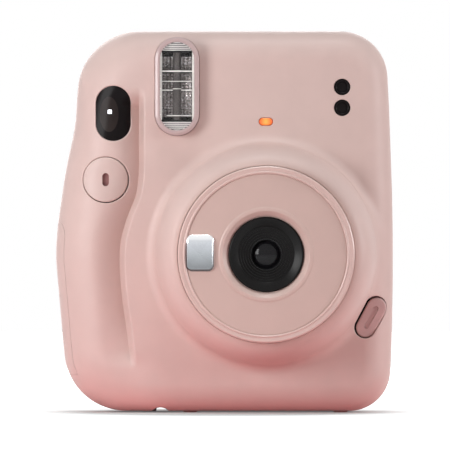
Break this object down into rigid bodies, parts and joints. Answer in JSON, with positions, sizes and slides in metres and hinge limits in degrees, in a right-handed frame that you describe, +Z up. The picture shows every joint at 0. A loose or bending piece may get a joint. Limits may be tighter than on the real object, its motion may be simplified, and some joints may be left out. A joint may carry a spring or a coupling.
{
  "type": "instant camera",
  "caption": "Pocket-sized instant film camera with a pop-out lens, a pull-out close-up ring with mirror, a flash, a grip, a swinging film door and a roller film drive.",
  "frame": {"origin": "middle of the bounding box in plan, on the ground plane under the feet, lens popped out", "axes": "+X to the right as seen by the person pictured, -Y the way the lens looks, +Z up"},
  "size_m": [0.1072, 0.0812, 0.1212],
  "materials": {
    "shell_pink": "satin, fine grain",
    "button_pink": "satin",
    "dark_pink": "satin",
    "lens_pink": "satin",
    "clear_rim": "clear, polished",
    "clear_window": "clear, polished",
    "amber_window": "tinted clear",
    "black_inner": "flat black",
    "black_trim": "satin black",
    "black_gloss": "polished black",
    "switch_black": "matte",
    "optical_glass": "coated",
    "flash_glass": "polished",
    "mirror_silver": "polished",
    "reflector_foil": "bright",
    "lamp_orange": "lit, translucent",
    "board_green": "solder mask",
    "can_black": "sleeve",
    "blade_black": "flat black",
    "bright_steel": "bright",
    "cell_wrap": "gloss wrap",
    "white_plastic": "moulded",
    "brass_pinion": "machined",
    "foot_rubber": "matte"
  },
  "bodies": {
    "camera_body": {"front_shell": "shell_pink", "rear_shell": "shell_pink", "chassis": "black_inner", "door_hinge_pin": "bright_steel", "battery_box": "black_inner", "battery_cells": "cell_wrap", "battery_contacts": "bright_steel", "lens_guide_tube": "black_inner", "flash_window": "clear_window", "flash_reflector": "reflector_foil", "flash_tube": "flash_glass", "flash_capacitor": "can_black", "viewfinder_window": "black_gloss", "viewfinder_tube": "black_inner", "viewfinder_objective": "optical_glass", "eyepiece_frame": "black_trim", "eyepiece_lens": "optical_glass", "shutter_switch": "switch_black", "power_switch": "switch_black", "ready_lamp": "lamp_orange", "light_sensors": "black_gloss", "circuit_board": "board_green", "film_counter_window": "clear_window", "roller_frame": "black_inner", "gear_axle": "bright_steel", "motor": "bright_steel", "strap_bar": "bright_steel", "feet": "foot_rubber", "case_screws": "bright_steel"},
    "film_door_body": {"film_door": "shell_pink", "film_door_window": "amber_window", "pack_springs": "bright_steel"},
    "latch_slider": {"door_latch": "dark_pink"},
    "battery_cover": {"battery_door": "shell_pink"},
    "lens_unit": {"lens_barrel": "lens_pink", "shutter_housing": "black_inner", "lens_bezel": "black_trim", "front_lens": "optical_glass", "rear_lens": "optical_glass", "blade_pin": "bright_steel"},
    "close_up_ring": {"close_up_sleeve": "lens_pink", "lens_face_plate": "lens_pink", "lens_clear_rim": "clear_rim", "close_up_mirror": "mirror_silver"},
    "upper_blade": {"shutter_blade_upper": "blade_black"},
    "lower_blade": {"shutter_blade_lower": "blade_black"},
    "shutter_key": {"shutter_button": "button_pink"},
    "power_key": {"power_button": "dark_pink"},
    "counter": {"film_counter_dial": "white_plastic"},
    "roller_front": {"front_roller": "bright_steel", "front_roller_gear": "white_plastic"},
    "roller_rear": {"rear_roller": "bright_steel", "rear_roller_gear": "white_plastic"},
    "reduction": {"reduction_gear": "white_plastic"},
    "pinion": {"motor_pinion": "brass_pinion"}
  },
  "joints": [
    {"name": "lens_push_in", "type": "slide", "parent": "camera_body", "child": "lens_unit", "axis": [0, 1, 0], "range_m": [0, 0.014]},
    {"name": "close_up_pull", "type": "slide", "parent": "lens_unit", "child": "close_up_ring", "axis": [0, -1, 0], "range_m": [0, 0.006]},
    {"name": "upper_blade_swing", "type": "hinge", "parent": "lens_unit", "child": "upper_blade", "pos_m": [0.0022, -0.027, 0.0503], "axis": [0, -1, 0], "range_deg": [0, 30]},
    {"name": "lower_blade_swing", "type": "hinge", "parent": "lens_unit", "child": "lower_blade", "pos_m": [0.0022, -0.026, 0.0503], "axis": [0, -1, 0], "range_deg": [-30, 0]},
    {"name": "shutter_press", "type": "slide", "parent": "camera_body", "child": "shutter_key", "axis": [0, 1, 0], "range_m": [0, 0.0012], "stiffness_N_per_m": 1500},
    {"name": "power_press", "type": "slide", "parent": "camera_body", "child": "power_key", "axis": [0, 1, 0], "range_m": [0, 0.0012], "stiffness_N_per_m": 1500},
    {"name": "film_door_swing", "type": "hinge", "parent": "camera_body", "child": "film_door_body", "pos_m": [-0.02365, 0.03805, 0.055], "axis": [0, 0, 1], "range_deg": [0, 90]},
    {"name": "latch_slide", "type": "slide", "parent": "film_door_body", "child": "latch_slider", "axis": [0, 0, -1], "range_m": [0, 0.003]},
    {"name": "battery_cover_off", "type": "slide", "parent": "camera_body", "child": "battery_cover", "axis": [-1, 0, 0], "range_m": [0, 0.025]},
    {"name": "counter_turn", "type": "hinge", "parent": "camera_body", "child": "counter", "pos_m": [-0.032, 0.034, 0.077], "axis": [0, 1, 0], "range_deg": [0, 300]},
    {"name": "front_roller_spin", "type": "hinge", "parent": "camera_body", "child": "roller_front", "pos_m": [0.0132, 0.02295, 0.1086], "axis": [1, 0, 0], "continuous": true},
    {"name": "rear_roller_spin", "type": "hinge", "parent": "camera_body", "child": "roller_rear", "pos_m": [0.0132, 0.03005, 0.1086], "axis": [1, 0, 0], "continuous": true},
    {"name": "reduction_spin", "type": "hinge", "parent": "camera_body", "child": "reduction", "pos_m": [-0.0242, 0.01842, 0.10014], "axis": [1, 0, 0], "continuous": true},
    {"name": "pinion_spin", "type": "hinge", "parent": "camera_body", "child": "pinion", "pos_m": [-0.0242, 0.01295, 0.10945], "axis": [1, 0, 0], "continuous": true}
  ],
  "couplings": [
    {"joint": "lower_blade_swing", "follows": "upper_blade_swing", "ratio": -1},
    {"joint": "rear_roller_spin", "follows": "front_roller_spin", "ratio": -1},
    {"joint": "reduction_spin", "follows": "front_roller_spin", "ratio": -1.6667},
    {"joint": "pinion_spin", "follows": "front_roller_spin", "ratio": 4.3333}
  ]
}
